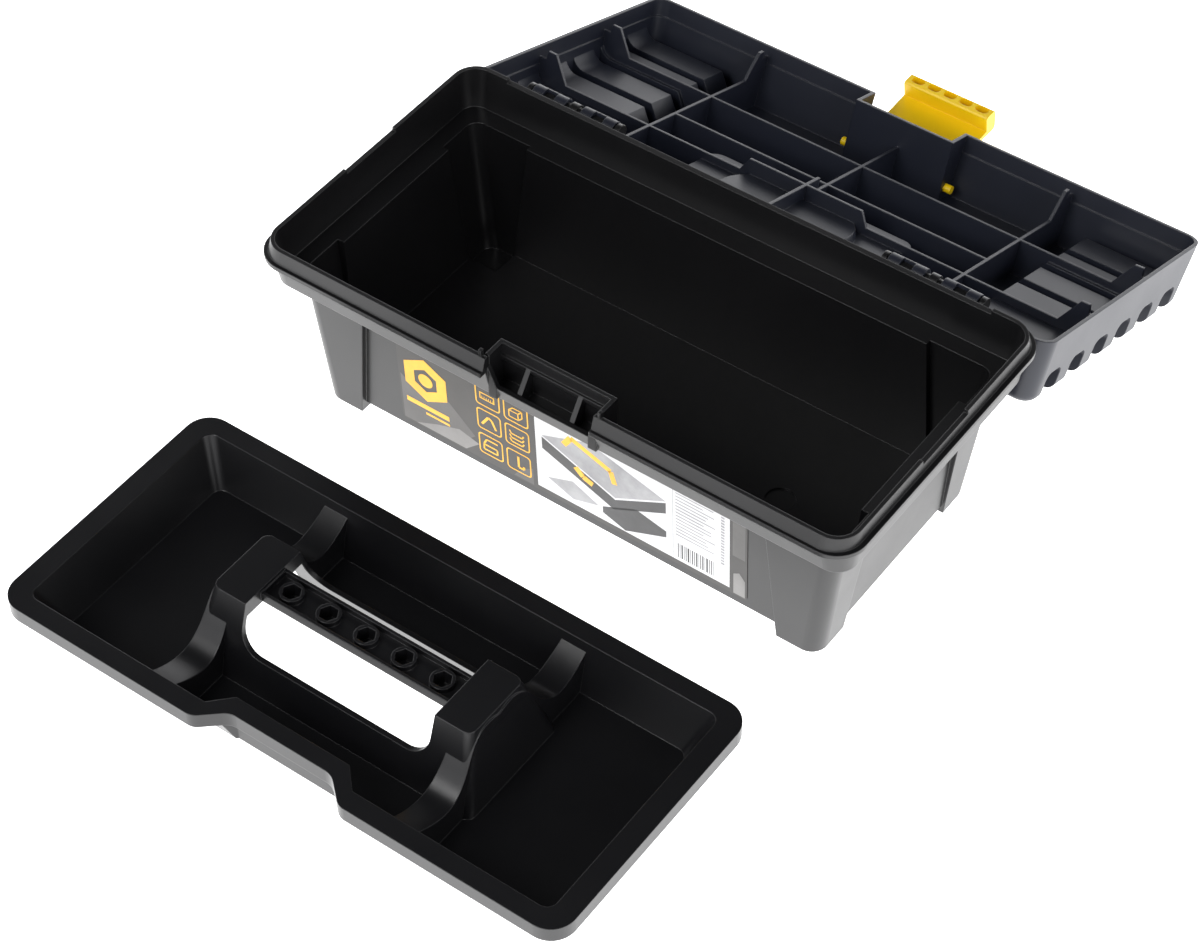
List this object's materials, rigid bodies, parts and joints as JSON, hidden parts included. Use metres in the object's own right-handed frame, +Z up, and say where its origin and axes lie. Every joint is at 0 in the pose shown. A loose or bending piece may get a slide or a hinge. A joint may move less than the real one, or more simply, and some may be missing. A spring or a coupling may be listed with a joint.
{
  "type": "toolbox with lift-out tray",
  "caption": "Plastic toolbox case with a hinged lid thrown open, a swing latch, a folding carrying handle and a lift-out tray with a grip.",
  "frame": {"origin": "on the floor, under the middle of the case", "axes": "+X along the length, +Y towards the hinges, +Z up"},
  "size_m": [0.312, 0.5226, 0.0997],
  "materials": {
    "case_black": "fine satin moulded polypropylene",
    "lid_grey": "fine satin moulded polypropylene, bluish grey",
    "yellow": "smooth satin yellow polypropylene",
    "tray_black": "fine satin moulded polypropylene",
    "label_film": "printed gloss film"
  },
  "bodies": {
    "case": {"body": "case_black", "label": "label_film"},
    "lid": {"lid": "lid_grey"},
    "latch": {"latch": "yellow"},
    "handle": {"handle": "yellow"},
    "tray": {"tray": "tray_black"}
  },
  "joints": [
    {"name": "lid_hinge", "type": "hinge", "parent": "case", "child": "lid", "pos_m": [0, 0.082, 0.088], "axis": [1, 0, 0], "range_deg": [0, 199.5]},
    {"name": "latch_pivot", "type": "hinge", "parent": "lid", "child": "latch", "pos_m": [0, 0.21446, 0.00969], "axis": [1, 0, 0], "range_deg": [0, 58]},
    {"name": "handle_pivot", "type": "hinge", "parent": "lid", "child": "handle", "pos_m": [0, 0.12715, 0.03934], "axis": [1, 0, 0], "range_deg": [0, 88]},
    {"name": "tray_lift", "type": "slide", "parent": "case", "child": "tray", "axis": [0, 0, 1], "range_m": [0, 0.25]}
  ]
}
